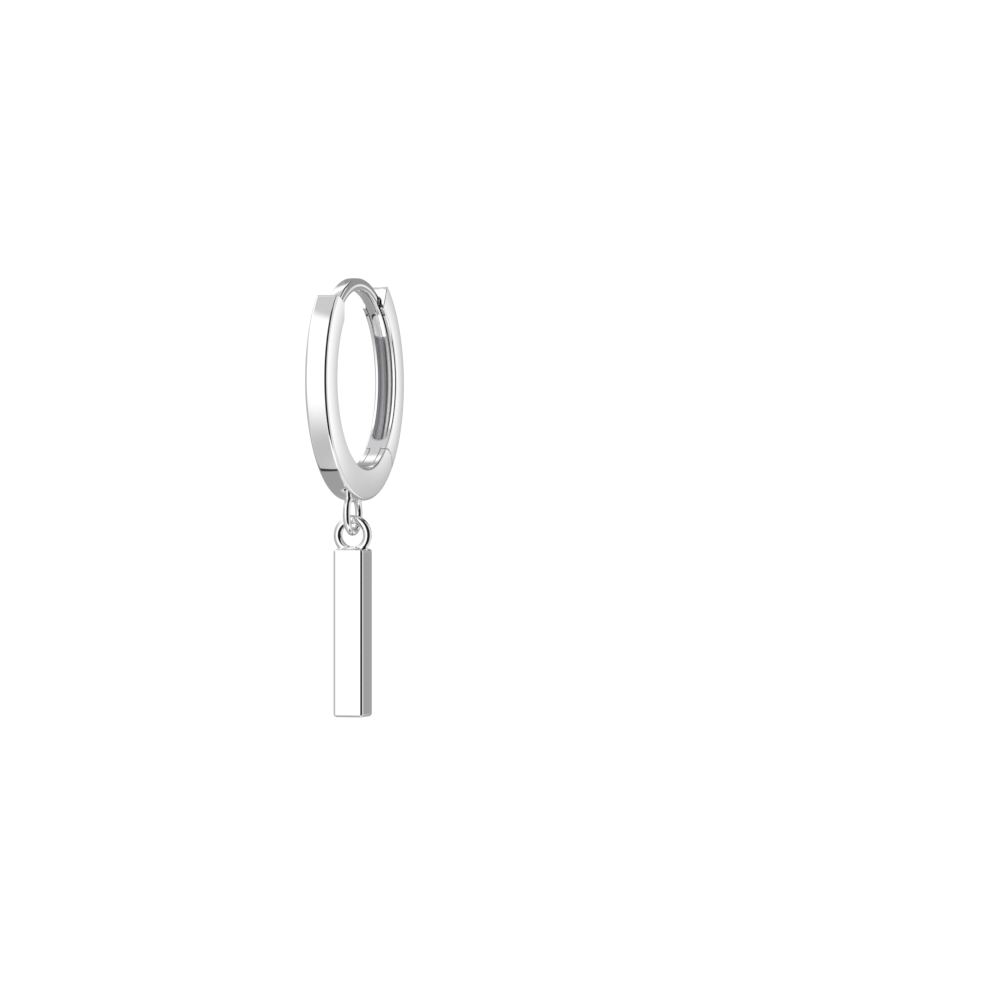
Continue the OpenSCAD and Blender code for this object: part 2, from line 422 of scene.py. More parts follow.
def begun(edge, grids):
    """Grids of points and normals that begin with a round edge."""
    return [np.concatenate([first[:, ::-1], rest[:, 1:]], axis=1) for first, rest in zip(edge, grids)]


def ended(grids, edge):
    """Grids of points and normals that end with a round edge."""
    return [np.concatenate([rest[:, :-1], last], axis=1) for rest, last in zip(grids, edge)]


def rounded(first, second, radius):
    """Depth under two walls that meet in a round edge."""
    outside = np.hypot(np.maximum(first + radius, 0), np.maximum(second + radius, 0))
    return np.minimum(np.maximum(first, second), -radius) + outside


def side_and_faces(rim, start=0):
    """Parts of a section's rim, which begins with the section's point number start.

    They are its side, its outer face up to there and its inner face from the middle back to there.
    """
    top, bottom = FACE_END - start, CREST - start
    return rim[top : bottom + 1], rim[: top + 1], rim[: bottom - 1 : -1]


def straight_across(rim, first, last, start):
    """Grid of a wall's points from x = start to its rim, with its first and last rows given."""
    spacings = [(row[:, 0] - start) / (row[-1, 0] - start) for row in (first, last)]
    weight = shares(len(rim) - 1)[:, None]
    spacing = spacings[0] * (1 - weight) + spacings[1] * weight
    y, z = (np.broadcast_to(rim[:, [axis]], spacing.shape) for axis in (1, 2))
    grid = np.stack([start + (rim[:, :1] - start) * spacing, y, z], axis=-1)
    grid[0], grid[-1] = first, last
    return grid


def add_wall(skin, wall, parts, start=0.0):
    """Wall that stands straight across the band, from x = start to its rim; gives its edge at start."""
    grid = straight_across(*parts, start)
    skin.add(grid, slope(wall, grid))
    return grid[:, 0]


def add_hinge_face(skin, loop, hinge, bore, facing):
    """Flat side of the hinge, from its rim to the pin's bore; gives the bore's edge."""
    out = unit((loop - hinge) * [0, 1, 1])
    edge = np.column_stack([loop[:, 0], (hinge + bore * out)[:, 1:]])
    share = shares(HINGE_FACE_STEPS)[:, None, None]
    grid = edge * (1 - share) + loop * share
    skin.add(grid, np.broadcast_to([facing, 0.0, 0.0], grid.shape))
    return edge, out


def around(centre, first, last, steps):
    """Points on arcs about a centre, from each of the first points to the matching last one."""
    share = shares(steps)[:, None]
    turns = [np.arctan2(*(ends - centre).T[:0:-1]) for ends in (first, last)]
    turn = turns[0] + (np.mod(turns[1] - turns[0] + math.pi, 2 * math.pi) - math.pi) * share
    radii = [np.linalg.norm((ends - centre)[:, 1:], axis=-1) for ends in (first, last)]
    radius = radii[0] + (radii[1] - radii[0]) * share
    across = first[:, 0] + (last[:, 0] - first[:, 0]) * share
    return np.stack([across, centre[1] + radius * np.cos(turn), centre[2] + radius * np.sin(turn)], axis=-1)


def solder(height, radius):
    """How far solder stands out from a wire, at a height over what it is soldered to."""
    height = np.clip(height, 0, radius)
    return radius - np.sqrt(np.maximum(radius**2 - (radius - height) ** 2, 0))


def add_ring(skin, place, turns, rolls, out):
    """A ring: its surface and outward direction are functions of the turn round it and the wire's roll."""
    turns, rolls = np.meshgrid(turns, rolls, indexing="ij")
    normals = unit(
        np.cross(
            place(turns + SLOPE_TURN, rolls) - place(turns - SLOPE_TURN, rolls),
            place(turns, rolls + SLOPE_TURN) - place(turns, rolls - SLOPE_TURN),
        )
    )
    sides = np.sign((normals * out(turns, rolls)).sum(axis=-1, keepdims=True))
    skin.add(place(turns, rolls), normals * sides)


class Hoop:
    """What both halves of the hoop are worked out from."""

    def __init__(self, sizes):
        self.sizes = sizes
        self.radius = sizes.hoop_radius
        self.inner_radius = sizes.hoop_radius - sizes.band_thickness
        self.middle = (self.radius + self.inner_radius) / 2
        self.centre = np.array([0, sizes.hoop_back, -sizes.hoop_below])
        self.opening = np.array([0, sizes.opening_back, sizes.opening_up])
        along = ray(sizes.hinge_angle) @ self.opening
        inner = along + math.sqrt(along**2 + self.inner_radius**2 - self.opening @ self.opening)
        hinge_radius = (self.radius + inner) / 2
        self.hinge = hinge_radius * ray(sizes.hinge_angle)

        # Radii of the cheeks' round and of the tongue's tail, both about the hinge
        self.cheek = self.radius - hinge_radius + sizes.cheek_over
        self.tail = self.cheek + sizes.tail_past

    def band(self, split):
        """Circles of the whole band's section, with a point of it at split on both faces."""
        sizes = self.sizes
        rows = section(
            sizes.band_width,
            sizes.band_thickness,
            split,
            sizes.band_edge,
            sizes.opening_edge,
            sizes.band_dome,
            sizes.band_crown,
        )
        share = np.r_[np.zeros(SIDE_TOP), shares(SIDE), np.ones(LAST - SIDE_END)]
        return circles(rows, self.middle, share[:, None] * self.opening, range(SIDE_TOP, SIDE_END + 1))

    def from_hinge(self, points):
        """Distance of points from the hinge's axis."""
        return np.hypot(points[..., 1] - self.hinge[1], points[..., 2] - self.hinge[2])

    def from_centre(self, points):
        """Distance of points from the hoop's axis."""
        return np.hypot(points[..., 1], points[..., 2])

    def past_face(self, points, end, lean, side):
        """How far points lie past a top end's leaning face."""
        return (points - self.radius * ray(end)) @ ray(end + lean + side * math.pi / 2)

    def below_turn(self, points, turn):
        """How far points lie below the plane through the opening's axis at an angle."""
        return (points - self.opening) @ ray(turn - math.pi / 2)

    def unrolled(self, turn, x, along, height):
        """Points at a length along the opening from an angle, and a height over the band's middle.

        Gives their angles and radii too.
        """
        turns = turn + along / self.inner_radius
        radius = self.middle + height
        y, z = self.opening[1] + radius * np.cos(turns), self.opening[2] + radius * np.sin(turns)
        return np.stack([x, y, z], axis=-1), turns, radius


def ear_post(skin, hoop):
    """The ear post: a rounded wire on its arc, with its free end rounded as if turned on a lathe."""
    sizes = hoop.sizes
    rows = section(
        sizes.post_width,
        sizes.post_thickness,
        sizes.post_width / 4,
        sizes.post_outer_edge,
        sizes.post_inner_edge,
        sizes.post_dome,
        sizes.post_crown,
        sizes.post_belly,
    )
    centre = np.array([0, -sizes.post_forward, sizes.opening_up])
    middle = hoop.inner_radius + sizes.post_thickness / 2
    root = sizes.front_end + sizes.post_root
    end = sizes.post_end + math.asin(sizes.post_width / 2 / middle)
    lines = circles(rows, middle, centre)
    points, normals = swept(lines, np.tile(np.linspace(root, end, POST_STEPS + 1), (len(rows), 1)))
    skin.add(points, normals)

    root_middle = np.broadcast_to(centre + middle * ray(root), points[:, 0].shape)
    root_face = np.stack([points[:, 0], root_middle], axis=1)
    skin.add(root_face, np.broadcast_to(ray(root + math.pi / 2), root_face.shape))

    x, _, _, radius, across, outwards, _ = (column[:, None] for column in lines.T)
    spin = np.linspace(math.pi / 2, 0, POST_END_STEPS + 1)
    up, forward = ray(end), ray(end - math.pi / 2)
    points = centre + (radius + 0 * spin)[..., None] * up + (x * np.cos(spin))[..., None] * forward
    points[..., 0] = x * np.sin(spin)
    normals = (outwards + 0 * spin)[..., None] * up + (across * np.cos(spin))[..., None] * forward
    normals[..., 0] = across * np.sin(spin)
    skin.add(points, normals)


def hanger_ring(skin, hoop):
    """The hanger ring, in the hoop's plane, with solder round its feet."""
    sizes = hoop.sizes
    centre = np.array([0, -sizes.hanger_forward, -sizes.hanger_below])

    def out(turn, roll):
        level = np.cos(roll)
        return np.stack([np.sin(roll), level * np.cos(turn), level * np.sin(turn)], axis=-1)

    def place(turn, roll):
        wire = centre + sizes.hanger_radius * out(turn, 0 * roll) + sizes.hanger_wire / 2 * out(turn, roll)
        height = hoop.from_centre(wire) - hoop.radius
        return wire + solder(height, sizes.hanger_solder)[..., None] * out(turn, roll)

    turns = np.linspace(0, 2 * math.pi, HANGER_STEPS + 1)
    rolls = np.linspace(0, math.pi, HANGER_WIRE_STEPS + 1)
    add_ring(skin, place, turns, rolls, out)


def add_cheek(skin, hoop, lines, slot, split):
    """Outside of a cheek, from the fork's slot on; gives its rim beside the slot."""
    lines, slot = (rows[MIDDLE : SPLIT_IN + 1] for rows in (lines, slot))
    hinge_turn = hoop.sizes.hinge_angle + 2 * math.pi

    def cheek_wall(points):
        return hoop.from_hinge(points) - hoop.cheek

    end = crossing(lines, cheek_wall, hinge_turn, hinge_turn + CHEEK_SPAN)
    end_round = rounded_end(lines, end, cheek_wall, hoop.sizes.seam_edge)
    points, normals = ended(swept(lines, slot + (end - slot) * shares(CHEEK_STEPS)), end_round)
    skin.add(points, normals)
    wall_edge = add_wall(skin, cheek_wall, side_and_faces(end_round[0][:, -1], MIDDLE), split)
    return np.concatenate([points[0][:-1], wall_edge[:-1], points[-1][::-1]])


def front_half_skin(hoop):
    """The front half's skin: band, fork for the hinge, ear post and hanger ring."""
    sizes = hoop.sizes
    skin = Skin()
    split = sizes.tongue_width / 2 + sizes.seam_gap
    lines = hoop.band(split)
    end_flat = sizes.front_flat * ray(sizes.front_end + sizes.front_lean)
    eased_at = (hoop.radius * ray(sizes.front_end) - end_flat)[1]
    slot_radius = hoop.tail + sizes.seam_gap

    # The front half is swept forward from its top end, so it comes to the hinge a whole turn further on
    hinge_turn = sizes.hinge_angle + 2 * math.pi

    def top_wall(points):
        face = hoop.past_face(points, sizes.front_end, sizes.front_lean, -1)
        inner = rounded(face, points[..., 1] - eased_at, sizes.eased_round)
        return rounded(hoop.from_centre(points) - hoop.radius, inner, sizes.end_round)

    def slot_wall(points):
        return slot_radius - hoop.from_hinge(points)

    # The band, from the top end to the fork's slot
    top = crossing(lines, top_wall, *FRONT_TOP_SPAN)
    slot = crossing(lines, slot_wall, hinge_turn - SLOT_SPAN, hinge_turn)
    top_round = rounded_end(lines, top, top_wall, sizes.end_edge)
    main = swept(lines, top + (slot - top) * shares(FRONT_STEPS))
    skin.add(*begun(top_round, main))
    add_wall(skin, top_wall, side_and_faces(top_round[0][:, -1]))

    # The fork: a cheek, the slot's end, and the cheek's flat side with the pin's bore
    cheek_rim = add_cheek(skin, hoop, lines, slot, split)
    slot_ends = main[0][: MIDDLE + 1, -1], main[0][: SPLIT_IN - 1 : -1, -1]
    slot_end = around(hoop.hinge, *slot_ends, HINGE_STEPS)
    skin.add(slot_end, slope(slot_wall, slot_end))
    loop = np.concatenate([cheek_rim, slot_end[::-1, -1][1:]])
    edge, out = add_hinge_face(skin, loop, hoop.hinge, sizes.cheek_bore, -1.0)
    bore_end = edge + [sizes.band_width / 2 - sizes.pin_cover - split, 0, 0]
    skin.add(np.stack([edge, bore_end]), np.stack([-out, -out]))
    middle = np.broadcast_to(hoop.hinge + [bore_end[0, 0], 0, 0], bore_end.shape)
    lid = np.stack([bore_end, middle])
    skin.add(lid, np.broadcast_to([-1.0, 0.0, 0.0], lid.shape))

    ear_post(skin, hoop)
    hanger_ring(skin, hoop)
    return skin


def groove_section(sizes, crest_x):
    """Half of the groove's section, from the crest beside it down to the middle of its bottom.

    The crest is where the band's inner edge starts. The rows are as in section.
    """
    radius, rim_radius = sizes.groove_width / 2, sizes.groove_rim
    rim_x = radius + rim_radius
    level = -sizes.band_thickness / 2
    across = np.linspace(crest_x, rim_x, SILL, endpoint=False)
    sill = np.column_stack([across, 0 * across + level, 0 * across, 0 * across - 1])
    turn = np.linspace(0, math.pi / 2, RIM + 1)
    sin, cos = np.sin(turn), np.cos(turn)
    rim = np.column_stack([rim_x - rim_radius * sin, level + rim_radius * (1 - cos), -sin, -cos])
    deep = level + sizes.groove_depth - radius
    heights = np.linspace(level + rim_radius, deep, GROOVE_WALL + 1)
    side = np.column_stack([0 * heights + radius, heights, 0 * heights - 1, 0 * heights])
    turn = np.linspace(0, math.pi / 2, CREST - SILL - RIM - GROOVE_WALL + 1)
    sin, cos = np.sin(turn), np.cos(turn)
    bottom = np.column_stack([radius * cos, deep + radius * sin, -cos, -sin])
    return np.vstack([sill, rim[:-1], side[:-1], bottom])


def add_groove(skin, hoop, rows, crest_top, top_wall, cap_turn):
    """The groove, down to its round lower end; gives its rim on the top end, from its bottom up."""
    lines = circles(rows, hoop.middle, hoop.opening)
    top = crossing(lines, top_wall, *BACK_TOP_SPAN)
    top[0] = crest_top
    top_round = rounded_end(lines, top, top_wall, hoop.sizes.end_edge)
    points, normals = begun(top_round, swept(lines, top + (cap_turn - top) * shares(GROOVE_STEPS)))
    skin.add(points[: SILL + 1], normals[: SILL + 1])
    # The groove takes the tumbled finish: rougher, and darker in colour as painted shade in the groove.
    skin.add(points[SILL:], normals[SILL:], TUMBLED)

    # The round end turns in as many steps as the inner face has beside it, as the apron does
    spin = np.linspace(math.pi / 2, 0, LAST - CREST + 1)
    x, height, across, outwards = (column[:, None] for column in rows.T)
    points, turn, radius = hoop.unrolled(cap_turn, x * np.sin(spin), -x * np.cos(spin), height + 0 * spin)
    along = -across * np.cos(spin) * hoop.inner_radius / radius
    y = outwards * np.cos(turn) - along * np.sin(turn)
    z = outwards * np.sin(turn) + along * np.cos(turn)
    skin.add(points, np.stack([across * np.sin(spin), y, z], axis=-1), TUMBLED)
    return top_round[0][::-1, -1]


def add_apron(skin, hoop, ends, crest_x, cap_turn, low_turn):
    """The face round the groove's lower end, down to ends on the line where the band's steps start."""
    spin = np.linspace(math.pi / 2, 0, LAST - CREST + 1)[:, None]
    start_x, start_along = crest_x * np.sin(spin), -crest_x * np.cos(spin)
    low_along = (low_turn - cap_turn) * hoop.inner_radius
    x = start_x + (ends - start_x) * shares(APRON_STEPS)
    along = start_along + (low_along - start_along) * shares(APRON_STEPS)
    points, turn, _ = hoop.unrolled(cap_turn, x, along, 0 * x - hoop.sizes.band_thickness / 2)
    skin.add(points, np.stack([0 * turn, -np.cos(turn), -np.sin(turn)], axis=-1))


def add_mouth(skin, hoop, outer_rim, groove_rim, top_wall):
    """The top end round the groove's mouth."""
    radii = [hoop.from_centre(rim) for rim in (outer_rim, groove_rim)]
    rims = []
    for share in shares(MOUTH_STEPS)[1:-1]:
        across = outer_rim[:, 0] * (1 - share) + groove_rim[:, 0] * share
        radius = radii[0] * (1 - share) + radii[1] * share
        nothing = 0 * across
        lines = np.column_stack([across, nothing, nothing, radius, nothing, nothing, nothing])
        rims.append(swept(lines, crossing(lines, top_wall, *BACK_TOP_SPAN))[0][:, 0])
    grid = np.stack([outer_rim, *rims, groove_rim])
    grid[:, CREST] = outer_rim[CREST]
    skin.add(grid, slope(top_wall, grid))


def add_tongue(skin, hoop, lines, slab, slab_edge, wall_edge):
    """The tongue between the cheeks, from the wall beside it, whose edges are given, to its tail."""
    sizes = hoop.sizes
    middles = np.r_[0 : MIDDLE + 1, SPLIT_IN : LAST + 1]
    lines, slab = lines[middles], slab[middles]

    def tail_wall(points):
        return hoop.from_hinge(points) - hoop.tail

    tail = crossing(lines, tail_wall, sizes.hinge_angle, sizes.hinge_angle - TAIL_SPAN)
    tail_round = rounded_end(lines, tail, tail_wall, sizes.seam_edge)
    main = swept(lines, slab + (tail - slab) * shares(TONGUE_STEPS))
    main[0][:, 0] = slab_edge[middles, 0]
    points, normals = ended(main, tail_round)
    for part in (slice(0, MIDDLE + 1), slice(MIDDLE + 1, None)):
        skin.add(points[part], normals[part])
    tips = points[:, -1]
    tail_end = around(hoop.hinge, tips[: MIDDLE + 1], tips[:MIDDLE:-1], HINGE_STEPS)
    skin.add(tail_end, slope(tail_wall, tail_end))
    loop = np.concatenate(
        [
            points[MIDDLE],
            tail_end[1:-1, -1],
            points[MIDDLE + 1][::-1],
            slab_edge[SPLIT_IN][1:],
            wall_edge[::-1][1:-1],
            slab_edge[MIDDLE][::-1],
        ]
    )
    edge, out = add_hinge_face(skin, loop, hoop.hinge, sizes.tongue_bore, 1.0)
    skin.add(np.stack([edge, edge * [0, 1, 1]]), np.stack([-out, -out]))


def back_half_skin(hoop):
    """The back half's skin: band with the ear post's groove, and the hinge's tongue."""
    sizes = hoop.sizes
    skin = Skin()
    split = sizes.tongue_width / 2
    lines = hoop.band(split)
    crest_x = lines[CREST, 0]
    groove_radius = sizes.groove_width / 2
    round_radius = hoop.inner_radius + sizes.groove_depth - groove_radius
    cap_turn = sizes.groove_end + math.asin(groove_radius / round_radius)
    low_turn = cap_turn - APRON / hoop.inner_radius

    def top_wall(points):
        face = hoop.past_face(points, sizes.back_end, sizes.back_lean, 1)
        return rounded(hoop.from_centre(points) - hoop.radius, face, sizes.end_round)

    def slab_wall(points):
        return hoop.cheek + sizes.seam_gap - hoop.from_hinge(points)

    top = crossing(lines, top_wall, *BACK_TOP_SPAN)
    cap = crossing(lines, lambda points: hoop.below_turn(points, cap_turn), *GROOVE_END_SPAN)
    low = crossing(lines, lambda points: hoop.below_turn(points, low_turn), *GROOVE_END_SPAN)
    cap[CREST:], low[CREST:] = cap_turn, low_turn
    slab = crossing(lines, slab_wall, sizes.hinge_angle + SLAB_SPAN, sizes.hinge_angle)
    slab_round = rounded_end(lines, slab, slab_wall, sizes.seam_edge)
    top_round = rounded_end(lines, top, top_wall, sizes.end_edge)

    # Outer face, side and inner edge, from the top end past the groove's lower end to the hinge
    groove_turns = top + (cap - top) * shares(GROOVE_STEPS)
    apron_turns = cap + (low - cap) * shares(APRON_STEPS)
    foot_turns = low + (slab - low) * shares(FOOT_STEPS)
    main = swept(lines, np.concatenate([groove_turns[:, :-1], apron_turns[:, :-1], foot_turns], axis=1))
    main[0][:, -1] = slab_round[0][:, 0]
    skin.add(*(grid[: CREST + 1] for grid in begun(top_round, main)))

    # Inner face between the apron and the hinge
    skin.add(*(grid[CREST:, -FOOT_STEPS - 1 :] for grid in main))

    groove_rim = add_groove(skin, hoop, groove_section(sizes, crest_x), top[CREST], top_wall, cap_turn)
    add_apron(skin, hoop, lines[CREST:, :1], crest_x, cap_turn, low_turn)
    add_mouth(skin, hoop, top_round[0][: CREST + 1, -1], groove_rim, top_wall)

    # The walls beside the tongue, where the band meets the cheeks
    slab_part = slice(MIDDLE, SPLIT_IN + 1)
    skin.add(*(edge[slab_part] for edge in slab_round))
    wall_edge = add_wall(skin, slab_wall, side_and_faces(slab_round[0][slab_part, -1], MIDDLE), split)
    add_tongue(skin, hoop, lines, slab, slab_round[0], wall_edge)
    return skin


def eye_ring(skin, sizes):
    """The eye ring on the bar's top, across the hanger ring, with solder round its foot."""
    bar_top = sizes.bar_length / 2
    centre = np.array([0, 0, bar_top - sizes.eye_sink + sizes.eye_radius + sizes.eye_wire / 2])

    def out(turn, roll):
        level = np.cos(roll)
        return np.stack([level * np.cos(turn), -np.sin(roll), level * np.sin(turn)], axis=-1)

    def place(turn, roll):
        wire = centre + sizes.eye_radius * out(turn, 0 * roll) + sizes.eye_wire / 2 * out(turn, roll)
        return wire + solder(wire[..., 2] - bar_top, sizes.eye_solder)[..., None] * out(turn, roll)

    turns = np.linspace(-math.pi / 2, math.pi / 2, EYE_STEPS + 1)
    rolls = np.linspace(0, 2 * math.pi, EYE_WIRE_STEPS + 1)
    add_ring(skin, place, turns, rolls, out)


def bar_drop_skin(sizes):
    """The bar with its eye ring, worked out round the bar's middle."""
    skin = Skin()
    half = sizes.bar_length / 2
    rows = section(
        sizes.bar_side,
        sizes.bar_side,
        sizes.bar_side / 4,
        sizes.bar_edge,
        sizes.bar_edge,
        sizes.bar_crown,
        sizes.bar_crown,
    )
    x, front, across, forward = rows.T
    outline = np.column_stack([x, -front, 0 * x])
    normals = np.column_stack([across, -forward, 0 * x])
    ends = []
    for side in (1, -1):
        sharp = outline + [0, 0, side * half]
        along = np.broadcast_to([0.0, 0.0, side], sharp.shape)
        ends.append(rounded_edge(sharp, normals, along, sizes.bar_edge))
    levels = np.linspace(half - sizes.bar_edge, sizes.bar_edge - half, SHAFT_STEPS + 1)
    shaft = np.stack([outline + [0, 0, level] for level in levels], axis=1)
    shaft_normals = np.repeat(normals[:, None], len(levels), axis=1)
    skin.add(*ended(begun(ends[0], (shaft, shaft_normals)), ends[1]))
    for side, end in zip((1.0, -1.0), ends):
        grid = straight_across(*side_and_faces(end[0][:, -1]), 0.0)
        skin.add(grid, np.broadcast_to([0.0, 0.0, side], grid.shape))
    eye_ring(skin, sizes)
    return skin


# The tent's light round the piece, each row laid over the ones before it. Azimuth 0 is in front of the hoop
# and 90 on its right, and elevation 0 is level. The sizes are from the middle of a card to its edges, all in
# degrees, and its edges fade over soft. Light is linear, 1 is white.
CARDS = [
    # name, azimuth, elevation, half_width, half_height, soft, light
    ("ceiling", 0, 90, 200, 31.5, 9, 0.68),
    ("left_wall", -125, 0, 33, 25, 12, 0.85),
    ("left_low", -80, -5, 42, 32, 30, 0.55),
    ("left_corner", -118, -32, 20, 12, 8, 0.22),
    ("floor_front", 0, -62, 200, 26, 48, 0.59),
    ("floor_front_right", 46, -62, 58, 26, 26, 1.20),
    ("floor_behind", 183, -45, 72, 45.15, 1.5, 0.38),
    ("floor_right", 128, -45, 30, 27, 10, 0.90),
    ("floor_under", 168, -74, 25, 14, 12, 0.70),
    ("floor_far", 172, -15, 30, 8, 4, 1.00),
    ("nadir_seam", -107, -66, 4.5, 20, 2.5, 0.05),
    ("wall_behind", 188, 7.5, 26.25, 37.5, 12.5, 0.42),
    ("wall_behind_top", 175, 22, 28, 18.8, 0.8, 0.33),
    ("right_end", 118, 8, 27, 50, 14, 0.85),
    ("right_turn", 80, 8, 12, 50, 24, 0.33),
    ("right_room", 45, 8.5, 35, 60, 6, 0.02),
    ("boom_side", 80, 66, 42, 9, 8, 0.08),
    ("boom_back", 147, 48, 25, 12, 8, 0.03),
]

# Light of the tent where no card hangs, and of the floor
TENT_WHITE, FLOOR_LIGHT = 1.2, 1.02

# How many steps the floor has up its cove and round it
COVE_STEPS, FLOOR_SIDES = 16, 64


def tent_light(world):
    """Paints the tent's light on the world by direction."""
    world.use_nodes = True
    tree = world.node_tree
    tree.nodes.clear()
    where = add_node(tree, "ShaderNodeTexCoord")
    axes = add_node(tree, "ShaderNodeSeparateXYZ", {0: where.outputs["Generated"]})
    front = add_node(tree, "ShaderNodeMath", {0: axes.outputs["Y"], 1: -1.0}, operation="MULTIPLY")
    azimuth = add_node(
        tree, "ShaderNodeMath", {0: axes.outputs["X"], 1: front.outputs[0]}, operation="ARCTAN2"
    )
    elevation = add_node(tree, "ShaderNodeMath", {0: axes.outputs["Z"]}, operation="ARCSINE")
    light = TENT_WHITE
    for name, at_azimuth, at_elevation, half_width, half_height, soft, card_light in CARDS:
        masks = []
        for direction, middle, half in (
            (azimuth, at_azimuth, half_width),
            (elevation, at_elevation, half_height),
        ):
            ends = {0: direction.outputs[0], 1: math.radians(middle)}
            off = add_node(tree, "ShaderNodeMath", ends, operation="SUBTRACT")
            if direction is azimuth:
                turn = {0: off.outputs[0], 1: math.pi, 2: -math.pi}
                off = add_node(tree, "ShaderNodeMath", turn, operation="WRAP")
            away = add_node(tree, "ShaderNodeMath", {0: off.outputs[0]}, operation="ABSOLUTE")
            masks.append(
                add_node(
                    tree,
                    "ShaderNodeMapRange",
                    {
                        "Value": away.outputs[0],
                        "From Min": math.radians(half - soft / 2),
                        "From Max": math.radians(half + soft / 2),
                        "To Min": 1.0,
                        "To Max": 0.0,
                    },
                    interpolation_type="SMOOTHSTEP",
                    label=name,
                )
            )
        both = {0: masks[0].outputs[0], 1: masks[1].outputs[0]}
        mask = add_node(tree, "ShaderNodeMath", both, operation="MULTIPLY")
        mix = add_node(tree, "ShaderNodeMix", {"Factor": mask.outputs[0], "A": light, "B": card_light})
        light = mix.outputs[0]
    glow = add_node(tree, "ShaderNodeBackground", {"Color": linear("#ffffff"), "Strength": light})
    add_node(tree, "ShaderNodeOutputWorld", {"Surface": glow.outputs[0]})


# The silver is cast, filed and tumbled in steel shot, then polished on a cotton wheel and rhodium plated. The
# wheel doesn't reach into the groove, which stays as the tumbler leaves it: rougher, and with a colour that
# is darker than the polished one as painted shade in the groove. Each finish is a row: what its colour and
# roughness are called in EarringFinish, how much the roughness varies, the size of its patches of haze, and
# the size and depth of its waves. The marks of the shot are too fine to show, at a few hundredths of a
# millimetre, so the tumbled row's haze and waves are drawn about ten times as coarse.
FINISHES = [
    # name, finish, varies, haze_mm, wave_mm, depth_mm
    ("rhodium_plated_silver_wheel_polished", "polished", 0.03, 0.8, 1.6, 0.0008),
    ("rhodium_plated_silver_tumbled", "tumbled", 0.08, 0.25, 0.5, 0.002),
]
HAZE_DETAIL, WAVE_DETAIL = 3.0, 1.0


def silver_finish(name, finish, varies, haze_mm, wave_mm, depth_mm):
    """The silver's material in one finish, made when it is first asked for."""
    if name in bpy.data.materials:
        return bpy.data.materials[name]
    looks = bpy.context.scene.earring_finish
    roughness = getattr(looks, f"{finish}_roughness")
    material = bpy.data.materials.new(name)
    material.use_nodes = True
    tree = material.node_tree
    tree.nodes.clear()
    where = add_node(tree, "ShaderNodeTexCoord")
    haze = add_node(
        tree,
        "ShaderNodeTexNoise",
        {"Vector": where.outputs["Object"], "Scale": 1 / (haze_mm * MM), "Detail": HAZE_DETAIL},
    )
    rough = add_node(
        tree,
        "ShaderNodeMapRange",
        {"Value": haze.outputs["Fac"], "To Min": roughness - varies / 2, "To Max": roughness + varies / 2},
    )
    waves = add_node(
        tree,
        "ShaderNodeTexNoise",
        {"Vector": where.outputs["Object"], "Scale": 1 / (wave_mm * MM), "Detail": WAVE_DETAIL},
    )
    bump = add_node(tree, "ShaderNodeBump", {"Height": waves.outputs["Fac"], "Distance": depth_mm * MM})
    shader = add_node(
        tree,
        "ShaderNodeBsdfPrincipled",
        {
            "Base Color": tuple(getattr(looks, f"{finish}_colour")),
            "Metallic": 1.0,
            "Roughness": rough.outputs["Result"],
            "Normal": bump.outputs["Normal"],
        },
    )
    add_node(tree, "ShaderNodeOutputMaterial", {"Surface": shader.outputs[0]})
    return material


def silver():
    """The earring's metal in both finishes, a bright neutral white from the rhodium.

    The polished one mirrors its surroundings sharply. Faint waves of hand polishing bend long reflections a
    little, and fine haze from handling softens them in patches. The tumbled one gives only a soft sheen, and
    its colour is darker than the polished one as painted shade in the groove.
    """
    return [silver_finish(*row) for row in FINISHES]


def dress(piece, node, body):
    """Puts a piece in its node's place."""
    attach(piece, body)
    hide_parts(node)


class EARRING_OT_front_half(bpy.types.Operator):
    """Makes the front half with the ear post and the hanger ring"""

    bl_idname = "earring.front_half"
    bl_label = "Front Half"

    def execute(self, context):
        hoop = Hoop(context.scene.earring_sizes)
        piece = front_half_skin(hoop).build("front_half_polished", hoop.centre)
        dress(piece, "front_half", "front")
        return {"FINISHED"}


class EARRING_OT_back_half(bpy.types.Operator):
    """Makes the back half with the groove and the hinge's tongue"""

    bl_idname = "earring.back_half"
    bl_label = "Back Half"

    def execute(self, context):
        hoop = Hoop(context.scene.earring_sizes)
        piece = back_half_skin(hoop).build("back_half_polished", hoop.centre)
        dress(piece, "back_half", "back")
        return {"FINISHED"}


class EARRING_OT_bar_drop(bpy.types.Operator):
    """Makes the square bar with its eye ring"""

    bl_idname = "earring.bar_drop"
    bl_label = "Bar Drop"

    def execute(self, context):
        sizes = context.scene.earring_sizes
        low, high = DROP_BOX
        middle = np.array([0, (low.y + high.y) / 2, low.z + sizes.bar_length / 2])
        piece = bar_drop_skin(sizes).build("bar_drop_polished", middle)
        dress(piece, "bar_drop", "drop")
        return {"FINISHED"}


class EARRING_OT_hinge_pin(bpy.types.Operator):
    """Gives the hidden hinge pin its metal"""

    bl_idname = "earring.hinge_pin"
    bl_label = "Hinge Pin"

    def execute(self, context):
        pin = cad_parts["hinge_pin"]
        for slot in pin.material_slots:
            slot.material = silver()[POLISHED]
        return {"FINISHED"}


def back_lit_acrylic(glow_colour):
    """The floor's opal acrylic sheet, lit from behind: an even pale glow, without shade or sheen."""
    material = bpy.data.materials.new("back_lit_acrylic")
    material.use_nodes = True
    tree = material.node_tree
    tree.nodes.clear()
    glow = add_node(tree, "ShaderNodeEmission", {"Color": tuple(glow_colour), "Strength": FLOOR_LIGHT})
    add_node(tree, "ShaderNodeOutputMaterial", {"Surface": glow.outputs[0]})
    return material


